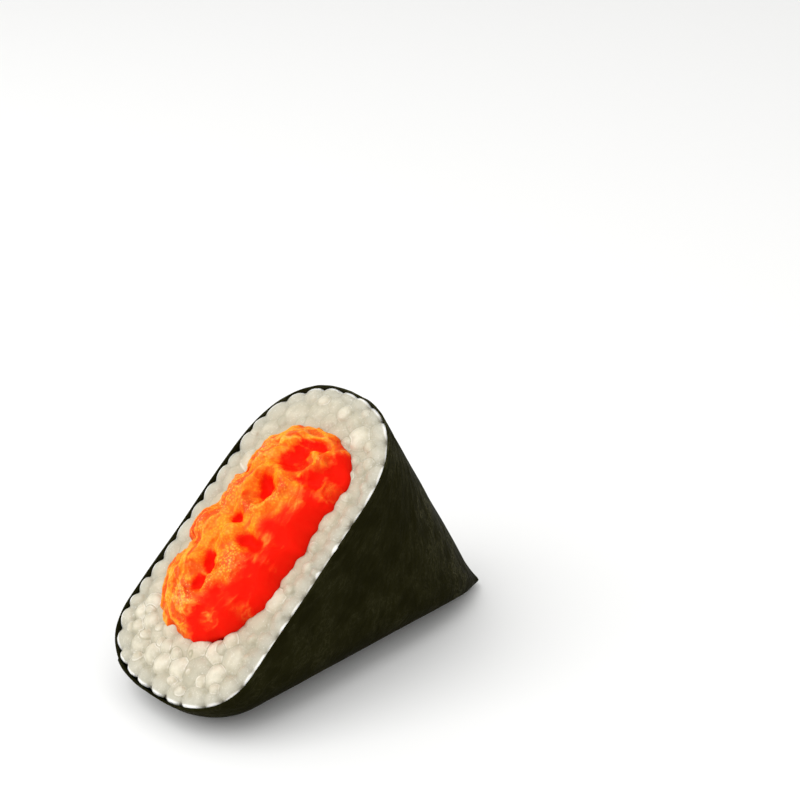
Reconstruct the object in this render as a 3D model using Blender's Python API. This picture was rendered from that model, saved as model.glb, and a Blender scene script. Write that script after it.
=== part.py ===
# Half of an onigiri: a rice triangle in a sheet of nori, cut through its apex. It lies on one of its
# long sides with the cut face turned up, so the rice and the lump of filling show. Metres, +Z up.
# X runs along the table from the rounded apex to the folded tip, and Y across the thickness.

import math
import random

import bmesh
import bpy
from mathutils import Vector
from mathutils.geometry import delaunay_2d_cdt

MM = 0.001

# The side outline, seen along Y.
CUT_TILT = math.radians(40)  # the cut face's slope above the table
TIP_ANGLE = math.radians(60.7)  # between the table and the end side, at the folded tip
CUT_REACH = 76.7 * MM  # up the cut face, from where its plane meets the table to its top end
APEX_RADIUS = 15.6 * MM  # the onigiri's rounded apex, which the cut halves
NORI_TIP_RADIUS = 0.4 * MM  # the nori folds nearly sharp at the tip
RICE_TIP_RADIUS = 6 * MM  # the rice doesn't fill the fold
TIP_SPREAD = 0.5  # how much rounder the tip's corner gets for each length drawn in across the thickness

# The rounding across the thickness, a superellipse on the lower side and on the end side.
THICKNESS = 37 * MM
LOWER_ROUND = 13.4 * MM
END_ROUND = 20.4 * MM
ROUND_POWER = 2.35
SETTLE = 0.5 * MM  # the lower side has flattened by this much where it lies

# The nori sheet and its lap, whose free edge runs along the lower shoulder of the far side.
NORI_WALL = 0.5 * MM
NORI_TO_RICE = 0.3 * MM
LAP_EDGE = 11.5 * MM
LAP_FADE = 13 * MM
LAP_RISE = 0.25 * MM
LAP_STEP = 0.2 * MM  # how wide the step at the lap's free edge is

# The rice grains that stand out of the cut face.
GRAIN_PITCH = 3.7 * MM
GRAIN_LONG = 2.7 * MM
GRAIN_SHORT = 1.8 * MM
GRAIN_RISE = 1.1 * MM
GRAIN_FLOOR = -0.75 * MM  # how deep the gaps between grains lie under the plane of the cut
GRAIN_DRIFT = 0.5 * MM  # how far a grain may lie from its place in the row, either way
GRAIN_ROUND = 0.75  # the power that rounds a grain's top
FACE_STEP = 0.95 * MM  # between points of the face
FACE_MARGIN = 0.6 * FACE_STEP  # between those points and the face's edges
ROW_SHARE = math.sqrt(3) / 2  # between staggered rows, as a share of the pitch along them

# The filling, a lump that runs from the cut face into the rice.
FILLING_LENGTH = 47 * MM
FILLING_WIDTH = 25.2 * MM
FILLING_CROWN = 5.2 * MM
FILLING_DEPTH = 15 * MM
FILLING_UP_THE_CUT = 43.8 * MM  # its middle, from where the plane of the cut meets the table
FILLING_TO_RICE = 0.35 * MM

# How its ellipsoid is squared off: along it, round its ends and across it. 1, 2 and 1 leave it plain.
ALONG_POWER = 0.86
END_POWER = 3.3
ACROSS_POWER = 0.9
RELIEF_FADE = 1.6  # how soon the relief fades out towards the mouth of the hollow

# Lobes and hollows of the filling's crown, in millimetres and degrees: along it, across it, half length,
# half width, turn and height.
FILLING_RELIEF = (
    (-3.1, 0.5, 2.5, 2.3, 0, 1.9),
    (-7.6, -3.6, 3.2, 2.7, 0, 1.5),
    (-3.3, 9.6, 4.0, 3.0, 0, 1.9),
    (-10.7, 6.1, 3.4, 2.7, 0, 1.7),
    (4.4, 7.4, 3.4, 2.5, 0, 1.1),
    (18.8, 3.2, 2.6, 2.5, 0, 1.2),
    (14.2, 5.8, 2.9, 2.7, 0, 1.4),
    (20.3, -8.0, 1.5, 1.7, 0, 1.1),
    (17.9, -6.4, 1.8, 1.3, -20, 1.4),
    (14.4, -5.8, 1.9, 1.2, -30, 1.4),
    (22.0, -3.6, 1.3, 3.0, 0, 0.7),
    (12.9, -11.0, 2.0, 1.6, 0, 1.0),
    (-12.0, -1.9, 1.8, 1.5, 0, 1.4),
    (-17.2, 1.6, 3.2, 3.0, 0, 1.4),
    (-15.5, -8.0, 3.2, 3.0, 0, 1.1),
    (-5.0, -9.2, 3.6, 2.6, 0, 1.1),
    (5.5, -8.2, 3.8, 2.8, 0, 1.0),
    (1.4, -3.8, 2.0, 2.2, 0, 0.9),
    (7.6, 0.6, 3.1, 1.5, 32, -3.0),
    (0.2, 2.3, 1.1, 1.8, 0, -2.6),
    (-2.6, -3.7, 1.5, 2.7, 0, -1.9),
    (-9.1, 2.0, 2.7, 1.3, 38, -2.4),
    (-13.7, 1.5, 1.9, 1.3, 10, -2.2),
    (14.7, -0.9, 2.3, 3.2, 0, -2.2),
    (19.2, -2.0, 1.3, 3.0, 8, -1.6),
    (16.7, -10.2, 1.6, 2.4, 0, -1.4),
    (9.3, 8.9, 1.3, 1.2, 0, -1.3),
)
RELIEF_POWER = 1.3  # how flat-topped the lobes are: 1 leaves a bell
RING = (7.4, 0.4, 4.5, 4.0, 1.5)  # a crest round one hollow: along, across, half length, half width, height
RING_SHARPNESS = 3.4

# How finely the surfaces are divided.
STATIONS = 20
APEX_STEPS = 6
LOWER_STEPS = 7
TIP_STEPS = 4
END_STEPS = 7
FILLING_STEPS = (46, 44)  # round the lump and along it
HOLLOW_STEPS = (36, 32)
LEAST_RADIUS = 0.3 * MM

NORI_COLOUR = (0.017, 0.016, 0.006, 1)
RICE_COLOUR = (0.80, 0.74, 0.62, 1)
FILLING_COLOUR = (0.90, 0.12, 0.02, 1)


# Directions and corners of the side outline, from where the plane of the cut meets the table.
UP_CUT = Vector((math.cos(CUT_TILT), math.sin(CUT_TILT)))
OUT_OF_CUT = Vector((-math.sin(CUT_TILT), math.cos(CUT_TILT)))
DOWN_END = Vector((math.cos(TIP_ANGLE), -math.sin(TIP_ANGLE)))
INTO_END = Vector((-math.sin(TIP_ANGLE), -math.cos(TIP_ANGLE)))
TOP_END = UP_CUT * CUT_REACH
TIP = Vector((TOP_END.x + TOP_END.y / math.tan(TIP_ANGLE), 0))
APEX_CENTRE = UP_CUT * (APEX_RADIUS / math.sin(CUT_TILT))
LEAST_X = (APEX_CENTRE - UP_CUT * APEX_RADIUS).x
MOST_X = TIP.x - NORI_TIP_RADIUS / math.tan(TIP_ANGLE / 2) + NORI_TIP_RADIUS
MIDDLE_X = (LEAST_X + MOST_X) / 2


def world(side, y):
    """A point of the side outline's plane at height y of the thickness."""
    return Vector((side.x - MIDDLE_X, y, side.y))


def cut_point(up, across, out):
    """A point given up the cut face, across it and out of it."""
    return world(UP_CUT * up + OUT_OF_CUT * out, across)


def arc(centre, radius, start, end, steps):
    turns = [start + (end - start) * i / steps for i in range(steps + 1)]
    return [centre + Vector((math.cos(t), math.sin(t))) * radius for t in turns]


def line(start, end, steps):
    return [start.lerp(end, i / steps) for i in range(1, steps)]


def side_outline(low_at_cut, low, end, tip_radius):
    """The outline from the cut's lower end round to its top end, drawn in by low and by end."""
    apex = []
    for i in range(APEX_STEPS + 1):
        turn = math.pi + CUT_TILT + (0.5 * math.pi - CUT_TILT) * i / APEX_STEPS
        drawn_in = low_at_cut + (low - low_at_cut) * i / APEX_STEPS
        radius = max(APEX_RADIUS - drawn_in, LEAST_RADIUS)
        apex.append(APEX_CENTRE + Vector((math.cos(turn), math.sin(turn))) * radius)
    top = TOP_END + INTO_END * end
    top += DOWN_END * (-top.dot(OUT_OF_CUT) / DOWN_END.dot(OUT_OF_CUT))
    corner = top + DOWN_END * ((low - top.y) / DOWN_END.y)
    radius = tip_radius + TIP_SPREAD * min(low, end)
    tip_centre = corner + Vector((-radius / math.tan(TIP_ANGLE / 2), radius))
    tip = arc(tip_centre, radius, -0.5 * math.pi, math.pi / 2 - TIP_ANGLE, TIP_STEPS)
    return apex + line(apex[-1], tip[0], LOWER_STEPS) + tip + line(tip[-1], top, END_STEPS) + [top]


def lap_lift(y):
    """How far the nori's lapped layer stands out at height y, fading towards the middle."""
    if y > LAP_EDGE:
        return 0
    share = max(0, 1 - (LAP_EDGE - y) / LAP_FADE)
    return LAP_RISE * share * share * (3 - 2 * share)


def stations(inset):
    """Places across the thickness, closer together near its sides, with both sides of the lap's edge."""
    half = THICKNESS / 2 - inset
    turns = [math.pi * (i / STATIONS - 0.5) for i in range(STATIONS + 1)]
    places = [math.copysign(abs(math.sin(turn)) ** (2 / ROUND_POWER), turn) * half for turn in turns]
    free = next(i for i, y in enumerate(places) if y > LAP_EDGE)
    places[free : free + 1] = (LAP_EDGE, LAP_EDGE + LAP_STEP)
    return places


def outlines(inset, tip_radius, lapped=False):
    """The side outlines of the whole thickness, drawn in by inset, as (y, points)."""
    half = THICKNESS / 2 - inset
    found = []
    for y in stations(inset):
        share = 1 - max(1 - abs(y / half) ** ROUND_POWER, 0) ** (1 / ROUND_POWER)
        lift = lap_lift(y) if lapped else 0
        rounded = inset + (LOWER_ROUND - inset) * share
        low_at_cut = max(rounded - lift, inset)
        low = max(rounded - SETTLE - lift, inset)
        end = inset + (END_ROUND - inset) * share
        found.append((y, side_outline(low_at_cut, low, end, tip_radius)))
    return found


def add_object(name, mesh, collection, colour, roughness):
    obj = bpy.data.objects.new(name, mesh)
    collection.objects.link(obj)
    material = bpy.data.materials.new(name)
    material.use_nodes = True
    surface = material.node_tree.nodes["Principled BSDF"]
    surface.inputs["Base Color"].default_value = colour
    surface.inputs["Roughness"].default_value = roughness
    mesh.materials.append(material)


def finish_mesh(bm, name, smooth_under):
    bmesh.ops.remove_doubles(bm, verts=bm.verts, dist=0.005 * MM)
    bmesh.ops.recalc_face_normals(bm, faces=bm.faces)
    mesh = bpy.data.meshes.new(name)
    bm.to_mesh(mesh)
    bm.free()
    mesh.shade_smooth()
    mesh.set_sharp_from_angle(angle=math.radians(smooth_under))
    return mesh


def lay_sheet(bm, rings):
    """One open surface through the outlines, with its two side faces. Returns its rows of vertices."""
    rows = [[bm.verts.new(world(point, y)) for point in points] for y, points in rings]
    for low, high in zip(rows, rows[1:]):
        for j in range(len(low) - 1):
            bm.faces.new((low[j], low[j + 1], high[j + 1], high[j]))
    bm.faces.new(rows[0])
    bm.faces.new(rows[-1])
    return rows


def rim_of(rows):
    """The loop of vertices round a sheet's open side, at the cut."""
    return [row[0] for row in rows] + [row[-1] for row in reversed(rows)]


def join_rims(bm, rim, other_rim):
    for i in range(len(rim)):
        bm.faces.new((rim[i - 1], rim[i], other_rim[i], other_rim[i - 1]))


def nori_mesh():
    """The wrap: an outer and an inner sheet, joined round the rim at the cut."""
    bm = bmesh.new()
    outer_rim = rim_of(lay_sheet(bm, outlines(0, NORI_TIP_RADIUS, lapped=True)))
    inner_rim = rim_of(lay_sheet(bm, outlines(NORI_WALL, NORI_TIP_RADIUS)))
    join_rims(bm, outer_rim, inner_rim)
    return finish_mesh(bm, "nori", smooth_under=40)


def scattered_grains():
    """Grains in staggered rows over the cut face: up, across, and the turn of the long axis."""
    draw = random.Random(11)
    grains = []
    rows = math.ceil(CUT_REACH / (GRAIN_PITCH * ROW_SHARE))
    columns = math.ceil(THICKNESS / GRAIN_PITCH)
    for row in range(rows + 1):
        for column in range(columns + 1):
            up = row * GRAIN_PITCH * ROW_SHARE + draw.uniform(-GRAIN_DRIFT, GRAIN_DRIFT)
            across = (column + 0.5 * (row % 2)) * GRAIN_PITCH - THICKNESS / 2
            across += draw.uniform(-GRAIN_DRIFT, GRAIN_DRIFT)
            grains.append((up, across, draw.uniform(0, math.pi)))
    return grains


def grain_height(grains, up, across):
    """How far the grains stand out of the cut at a place on it."""
    height = 0
    for grain_up, grain_across, turn in grains:
        du, dv = up - grain_up, across - grain_across
        if abs(du) > GRAIN_LONG or abs(dv) > GRAIN_LONG:
            continue
        along = (du * math.cos(turn) + dv * math.sin(turn)) / GRAIN_LONG
        aside = (dv * math.cos(turn) - du * math.sin(turn)) / GRAIN_SHORT
        height = max(height, 1 - along * along - aside * aside)
    return GRAIN_FLOOR + GRAIN_RISE * height ** GRAIN_ROUND


def relief_height(along, across):
    """The lobes and hollows of the filling's crown, at a place on it in metres."""
    along, across = along / MM, across / MM
    height = 0
    for middle_along, middle_across, half_length, half_width, turn, rise in FILLING_RELIEF:
        off_along, off_across = along - middle_along, across - middle_across
        cos, sin = math.cos(math.radians(turn)), math.sin(math.radians(turn))
        lengthwise = (off_along * cos + off_across * sin) / half_length
        crosswise = (off_across * cos - off_along * sin) / half_width
        height += rise * math.exp(-((lengthwise ** 2 + crosswise ** 2) ** RELIEF_POWER))
    ring_along, ring_across, half_length, half_width, rise = RING
    reach = math.hypot((along - ring_along) / half_length, (across - ring_across) / half_width)
    height += rise * math.exp(-(((reach - 1) * RING_SHARPNESS) ** 2))
    return height * MM


def lay_filling(bm, steps, grown=0):
    """The lump: a squarish ellipsoid, deep in the rice and lumpy on its crown."""
    made = bmesh.ops.create_uvsphere(bm, u_segments=steps[0], v_segments=steps[1], radius=1)
    for vertex in made["verts"]:
        x, y, z = vertex.co
        along = math.copysign(abs(z) ** ALONG_POWER, z)
        girth = math.sqrt(max(0, 1 - abs(along) ** END_POWER)) / max(math.hypot(x, y), 1e-6)
        across, out = x * girth, y * girth
        up = along * (FILLING_LENGTH / 2 + grown)
        side = math.copysign(abs(across) ** ACROSS_POWER, across) * (FILLING_WIDTH / 2 + grown)
        if out > 0:
            rise = out * (FILLING_CROWN + grown)
            rise += relief_height(up, side) * min(1, out * RELIEF_FADE)
        else:
            rise = out * (FILLING_DEPTH + grown)
        vertex.co = cut_point(FILLING_UP_THE_CUT + up, side, rise)
    return made["verts"]


def on_the_cut(vertex):
    """A vertex's place as (up the cut face, across it, out of it)."""
    side = Vector((vertex.co.x + MIDDLE_X, vertex.co.z))
    return side.dot(UP_CUT), vertex.co.y, side.dot(OUT_OF_CUT)


def in_turn(loop):
    """The vertices of a loop on the cut face in order round its middle."""
    places = [on_the_cut(vertex) for vertex in loop]
    middle_up = sum(place[0] for place in places) / len(places)
    return sorted(loop, key=lambda v: math.atan2(on_the_cut(v)[1], on_the_cut(v)[0] - middle_up))


def lay_hollow(bm):
    """The space for the filling, under the cut. Returns the loop of vertices round its mouth."""
    vertices = lay_filling(bm, HOLLOW_STEPS, FILLING_TO_RICE)
    above = [vertex for vertex in vertices if on_the_cut(vertex)[2] > 0.01 * MM]
    bmesh.ops.delete(bm, geom=above, context="VERTS")
    mouth = {vertex for edge in bm.edges if edge.is_boundary for vertex in edge.verts}
    return in_turn([vertex for vertex in mouth if vertex in set(vertices)])


def outside_by(point, loop):
    """How far outside a convex loop on the cut face a point is, negative inside."""
    farthest = -1
    for (up, across), (next_up, next_across) in zip(loop, loop[1:] + loop[:1]):
        run_up, run_across = next_up - up, next_across - across
        away = (point[0] - up) * run_across - (point[1] - across) * run_up
        farthest = max(farthest, away / math.hypot(run_up, run_across))
    return farthest


def lay_cut_face(bm, rim, mouth):
    """The grainy face between the rice's rim and the mouth of the filling's hollow."""
    rim_places = [on_the_cut(vertex)[:2] for vertex in rim]
    mouth_places = [on_the_cut(vertex)[:2] for vertex in mouth]
    rows = math.ceil(CUT_REACH / (FACE_STEP * ROW_SHARE))
    columns = math.ceil(THICKNESS / FACE_STEP)
    places = mouth_places + rim_places
    for row in range(rows):
        for column in range(columns):
            across = (column + 0.5 * (row % 2)) * FACE_STEP - THICKNESS / 2
            place = (row * FACE_STEP * ROW_SHARE, across)
            clear_of_rim = outside_by(place, rim_places) < -FACE_MARGIN
            if clear_of_rim and outside_by(place, mouth_places) > FACE_MARGIN:
                places.append(place)
    loops = [(i, (i + 1) % len(mouth)) for i in range(len(mouth))]
    loops += [(len(mouth) + i, len(mouth) + (i + 1) % len(rim)) for i in range(len(rim))]
    found = delaunay_2d_cdt([Vector(place) for place in places], loops, [], 1, 1e-7)
    grains = scattered_grains()
    vertices = list(mouth) + list(rim)
    for up, across in places[len(vertices) :]:
        vertices.append(bm.verts.new(cut_point(up, across, grain_height(grains, up, across))))
    for corners in found[2]:
        sources = [found[3][corner][0] for corner in corners]
        if max(sources) >= len(mouth):
            bm.faces.new([vertices[source] for source in sources])


def filling_mesh():
    bm = bmesh.new()
    lay_filling(bm, FILLING_STEPS)
    return finish_mesh(bm, "filling", smooth_under=90)


def rice_mesh():
    bm = bmesh.new()
    mouth = lay_hollow(bm)
    rim = in_turn(rim_of(lay_sheet(bm, outlines(NORI_WALL + NORI_TO_RICE, RICE_TIP_RADIUS))))
    lay_cut_face(bm, rim, mouth)
    return finish_mesh(bm, "rice", smooth_under=40)


def build():
    for obj in list(bpy.data.objects):
        bpy.data.objects.remove(obj)
    parts = bpy.data.collections.new("onigiri_half")
    bpy.context.scene.collection.children.link(parts)
    add_object("nori", nori_mesh(), parts, NORI_COLOUR, 0.5)
    add_object("rice", rice_mesh(), parts, RICE_COLOUR, 0.35)
    add_object("filling", filling_mesh(), parts, FILLING_COLOUR, 0.25)


build()
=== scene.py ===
import math

import bmesh
import bpy
import numpy as np
from mathutils import Matrix, Vector, noise
from mathutils.geometry import delaunay_2d_cdt
from mathutils.kdtree import KDTree


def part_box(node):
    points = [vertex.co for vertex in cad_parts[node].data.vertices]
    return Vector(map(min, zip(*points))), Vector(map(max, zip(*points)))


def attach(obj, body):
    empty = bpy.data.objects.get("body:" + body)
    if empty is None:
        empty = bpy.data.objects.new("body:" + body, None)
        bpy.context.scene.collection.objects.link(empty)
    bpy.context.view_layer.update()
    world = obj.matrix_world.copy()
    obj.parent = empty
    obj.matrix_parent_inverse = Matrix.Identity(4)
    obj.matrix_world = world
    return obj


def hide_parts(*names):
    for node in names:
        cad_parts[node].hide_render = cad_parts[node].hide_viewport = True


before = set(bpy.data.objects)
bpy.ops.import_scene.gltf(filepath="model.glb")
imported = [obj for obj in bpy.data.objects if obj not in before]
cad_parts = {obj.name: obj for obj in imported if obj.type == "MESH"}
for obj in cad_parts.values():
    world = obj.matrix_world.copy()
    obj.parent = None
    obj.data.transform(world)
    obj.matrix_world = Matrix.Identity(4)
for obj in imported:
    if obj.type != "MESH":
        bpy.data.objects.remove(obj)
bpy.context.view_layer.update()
mm = 0.001

# The half onigiri lies on a long side. Its cut face slopes up towards +X and shows rice and filling.
# A place on the cut face is (up, across, out): up the slope from where its plane meets the table,
# across the thickness, and out of the face.
form = {
    "cutTilt": math.radians(40),
    "tipAngle": math.radians(60.7),
    "cutReach": 76.7 * mm,
    "apexRadius": 15.6 * mm,
    "thickness": 37 * mm,
    "lowerRound": 13.4 * mm,
    "endRound": 20.4 * mm,
    "roundPower": 2.35,
    "settle": 0.5 * mm,
    "tipRadius": 0.4 * mm,
    "tipSpread": 0.5,
}
upCut = np.array([math.cos(form["cutTilt"]), math.sin(form["cutTilt"])])
outOfCut = np.array([-math.sin(form["cutTilt"]), math.cos(form["cutTilt"])])
downEnd = np.array([math.cos(form["tipAngle"]), -math.sin(form["tipAngle"])])
intoEnd = np.array([-math.sin(form["tipAngle"]), -math.cos(form["tipAngle"])])
topEnd = upCut * form["cutReach"]
apexCentre = upCut * form["apexRadius"] / math.sin(form["cutTilt"])
lowEnd = apexCentre - upCut * form["apexRadius"]
noriLow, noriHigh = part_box("nori")
middleX = lowEnd[0] - noriLow.x  # the frame's origin, counted from where the cut's plane meets the table


def onCut(up, across, out):
    side = upCut * up + outOfCut * out
    return Vector((side[0] - middleX, across, side[1]))


def smooth(value, low=0.0, high=1.0):
    share = np.clip((value - low) / (high - low), 0, 1)
    return share * share * (3 - 2 * share)


# ---- side outlines and the surface through them

def roundShare(across, half):
    return 1 - max(1 - abs(across / half) ** form["roundPower"], 0) ** (1 / form["roundPower"])


def sideOutline(lowAtCut, low, end, tipRadius, steps):
    # from the cut's lower end round the apex, along the table, round the tip and up to the cut's top
    points = []
    for i in range(steps["apex"] + 1):
        share = i / steps["apex"]
        turn = math.pi + form["cutTilt"] + (math.pi / 2 - form["cutTilt"]) * share
        radius = max(form["apexRadius"] - lowAtCut - (low - lowAtCut) * share, 0.3 * mm)
        points.append(apexCentre + radius * np.array([math.cos(turn), math.sin(turn)]))
    top = topEnd + intoEnd * end
    top = top + downEnd * (-(top @ outOfCut) / (downEnd @ outOfCut))
    corner = top + downEnd * ((low - top[1]) / downEnd[1])
    radius = tipRadius + form["tipSpread"] * min(low, end)
    centre = corner + np.array([-radius / math.tan(form["tipAngle"] / 2), radius])
    tip = []
    for i in range(steps["tip"] + 1):
        turn = -math.pi / 2 + (math.pi - form["tipAngle"]) * i / steps["tip"]
        tip.append(centre + radius * np.array([math.cos(turn), math.sin(turn)]))
    for i in range(1, steps["lower"]):
        points.append(points[steps["apex"]] + (tip[0] - points[steps["apex"]]) * i / steps["lower"])
    points += tip
    for i in range(1, steps["end"] + 1):
        points.append(tip[-1] + (top - tip[-1]) * i / steps["end"])
    return points


def evenStations(half, count):
    # places across the thickness, evenly spaced along its rounding
    fine = np.linspace(-1, 1, 4001) * half
    inset = np.array([roundShare(y, half) for y in fine]) * form["lowerRound"]
    along = np.concatenate([[0], np.cumsum(np.hypot(np.diff(fine), np.diff(inset)))])
    return list(np.interp(np.linspace(0, along[-1], count), along, fine))


# ---- meshes

def meshFrom(bm, name, weld=0.002 * mm):
    bmesh.ops.remove_doubles(bm, verts=bm.verts, dist=weld)
    bmesh.ops.recalc_face_normals(bm, faces=bm.faces)
    mesh = bpy.data.meshes.new(name)
    bm.to_mesh(mesh)
    bm.free()
    mesh.shade_smooth()
    return mesh


def addPiece(name, mesh, material, nodes):
    piece = bpy.data.objects.new(name, mesh)
    bpy.context.scene.collection.objects.link(piece)
    if material:
        mesh.materials.clear()
        mesh.materials.append(material)
    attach(piece, "root")
    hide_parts(*nodes)
    print("made", name, len(mesh.polygons), "faces")
    return piece


def evaluated(piece, name):
    # the mesh as its modifiers leave it
    bpy.context.view_layer.update()
    mesh = bpy.data.meshes.new_from_object(piece.evaluated_get(bpy.context.evaluated_depsgraph_get()))
    mesh.name = name
    return mesh


def convexEdges(loop):
    # a convex loop's edges as start points and outward normals
    loop = np.asarray(loop, float)
    run = np.roll(loop, -1, axis=0) - loop
    length = np.hypot(run[:, 0], run[:, 1])
    keep = length > 1e-7
    loop, run, length = loop[keep], run[keep], length[keep]
    normal = np.stack([run[:, 1], -run[:, 0]], axis=1) / length[:, None]
    if np.sum((loop.mean(axis=0) - loop) * normal) > 0:
        normal = -normal
    return loop, normal


def outsideBy(points, edges):
    # how far each point is outside a convex loop, negative inside, and which way is out
    start, normal = edges
    away = ((points[:, None, :] - start[None]) * normal[None]).sum(axis=2)
    nearest = away.argmax(axis=1)
    return away[np.arange(len(points)), nearest], normal[nearest]


# ---- materials

class Wire:
    # a socket of a material's nodes, with Python's arithmetic
    def __init__(self, surface, socket):
        self.surface, self.socket = surface, socket

    def __add__(self, other):
        return self.surface.sum("ADD", self, other)

    def __sub__(self, other):
        return self.surface.sum("SUBTRACT", self, other)

    def __rsub__(self, other):
        return self.surface.sum("SUBTRACT", other, self)

    def __mul__(self, other):
        return self.surface.sum("MULTIPLY", self, other)

    def __truediv__(self, other):
        return self.surface.sum("DIVIDE", self, other)

    def __rtruediv__(self, other):
        return self.surface.sum("DIVIDE", other, self)

    def __pow__(self, other):
        return self.surface.sum("POWER", self, other)

    __radd__, __rmul__ = __add__, __mul__

    def clamped(self):
        wire = self + 0.0
        wire.socket.node.use_clamp = True
        return wire


class Surface:
    # a material and its shader, built node by node
    def __init__(self, name, roughness, specular, **fixed):
        self.material = bpy.data.materials.new(name)
        self.material.use_nodes = True
        self.tree = self.material.node_tree
        self.shader = self.tree.nodes["Principled BSDF"]
        self.shader.inputs["Roughness"].default_value = roughness
        self.shader.inputs["Specular IOR Level"].default_value = specular
        for label, value in fixed.items():
            self.shader.inputs[label.replace("_", " ")].default_value = value

    def add(self, kind, settings=None, sockets=None, out=0):
        node = self.tree.nodes.new(kind)
        for label, value in (settings or {}).items():
            if label == "stops":
                ramp = node.color_ramp
                while len(ramp.elements) < len(value):
                    ramp.elements.new(0.5)
                for element, (place, colour) in zip(ramp.elements, value):
                    element.position, element.color = place, colour
            else:
                setattr(node, label, value)
        for label, value in (sockets or {}).items():
            if isinstance(value, Wire):
                self.tree.links.new(value.socket, node.inputs[label])
            else:
                node.inputs[label].default_value = value
        return Wire(self, node.outputs[out])

    def sum(self, operation, first, second):
        return self.add("ShaderNodeMath", {"operation": operation}, {0: first, 1: second})

    def place(self):
        return self.add("ShaderNodeTexCoord", out="Object")

    def parts(self, vector):
        split = self.add("ShaderNodeSeparateXYZ", sockets={0: vector})
        return [Wire(self, socket) for socket in split.socket.node.outputs]

    def vector(self, x, y, z):
        return self.add("ShaderNodeCombineXYZ", sockets={0: x, 1: y, 2: z})

    def grain(self, vector, scale, detail=2.0, roughness=0.5):
        return self.add(
            "ShaderNodeTexNoise", sockets={"Vector": vector, "Scale": scale, "Detail": detail, "Roughness": roughness}
        )

    def cells(self, vector, scale, feature="F1"):
        return self.add("ShaderNodeTexVoronoi", {"feature": feature}, {"Vector": vector, "Scale": scale})

    def ramp(self, value, stops):
        return self.add("ShaderNodeValToRGB", {"stops": stops}, {0: value})

    def range(self, value, low, high):
        return self.add(
            "ShaderNodeMapRange",
            {"interpolation_type": "SMOOTHSTEP"},
            {"Value": value, "From Min": low, "From Max": high},
        )

    def blend(self, share, first, second, mode="MIX"):
        node = self.add("ShaderNodeMix", {"data_type": "RGBA", "blend_type": mode}).socket.node
        for index, value in ((0, share), (6, first), (7, second)):
            if isinstance(value, Wire):
                self.tree.links.new(value.socket, node.inputs[index])
            else:
                node.inputs[index].default_value = value
        return Wire(self, node.outputs[2])

    def attribute(self, name):
        return self.add("ShaderNodeAttribute", {"attribute_name": name}, out="Fac")

    def bump(self, height, distance, strength=1.0, onto=None):
        sockets = {"Height": height, "Distance": distance, "Strength": strength}
        if onto:
            sockets["Normal"] = onto
        return self.add("ShaderNodeBump", sockets=sockets)

    def wear(self, **links):
        for label, wire in links.items():
            self.tree.links.new(wire.socket, self.shader.inputs[label.replace("_", " ")])
        return self.material


# ---- the nori wrap

nori = {
    "wall": 0.4 * mm,
    "rows": 96,
    "steps": {"apex": 14, "lower": 70, "tip": 10, "end": 70},
    "facePitch": 0.8 * mm,
    "lapEdge": 11.5 * mm,
    "lapFade": 13 * mm,
    "lapRise": 0.25 * mm,
    "creaseDepth": 0.16 * mm,
    "rippleDepth": 0.10 * mm,
    "ear": Vector((noriHigh.x - 3.7 * mm, -10.4 * mm, 1.9 * mm)),
    "earSize": 1.4 * mm,
    "earReach": 1.05 * mm,
}
fanCentre = topEnd  # the creases in the sheet spread from the cut's top end


def lapLift(across):
    if across > nori["lapEdge"]:
        return 0
    share = max(0, 1 - (nori["lapEdge"] - across) / nori["lapFade"])
    return nori["lapRise"] * share * share * (3 - 2 * share)


def wrapOutlines():
    half = form["thickness"] / 2
    places = evenStations(half, nori["rows"])
    free = next(i for i, y in enumerate(places) if y > nori["lapEdge"])
    places[free : free + 1] = (nori["lapEdge"], nori["lapEdge"] + 0.15 * mm)
    found = []
    for y in places:
        rounded = form["lowerRound"] * roundShare(y, half)
        lowAtCut = max(rounded - lapLift(y), 0)
        low = max(rounded - form["settle"] - lapLift(y), 0)
        end = form["endRound"] * roundShare(y, half)
        found.append((y, sideOutline(lowAtCut, low, end, form["tipRadius"], nori["steps"])))
    return found


def flatFace(bm, row, pitch):
    # fills the flat middle of a side, from its outline to the cut, with an even net of points
    outline = [Vector((v.co.x, v.co.z)) for v in row]
    cutRun = int((outline[-1] - outline[0]).length / pitch)
    closing = [outline[-1].lerp(outline[0], i / cutRun) for i in range(1, cutRun)]
    loop = outline + closing
    edges = convexEdges([tuple(point) for point in loop])
    low, high = edges[0].min(axis=0), edges[0].max(axis=0)
    net = []
    for j, z in enumerate(np.arange(low[1], high[1], pitch * 0.866)):
        net += [(x + (j % 2) * pitch / 2, z) for x in np.arange(low[0], high[0], pitch)]
    net = np.array(net)
    inside = net[outsideBy(net, edges)[0] < -0.5 * pitch]
    places = loop + [Vector(point) for point in inside]
    rim = [(i, (i + 1) % len(loop)) for i in range(len(loop))]
    found = delaunay_2d_cdt(places, rim, [], 1, 1e-7)
    across = row[0].co.y
    vertices = list(row) + [bm.verts.new((place.x, across, place.y)) for place in places[len(row) :]]
    for corners in found[2]:
        bm.faces.new([vertices[found[3][corner][0]] for corner in corners])


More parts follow.
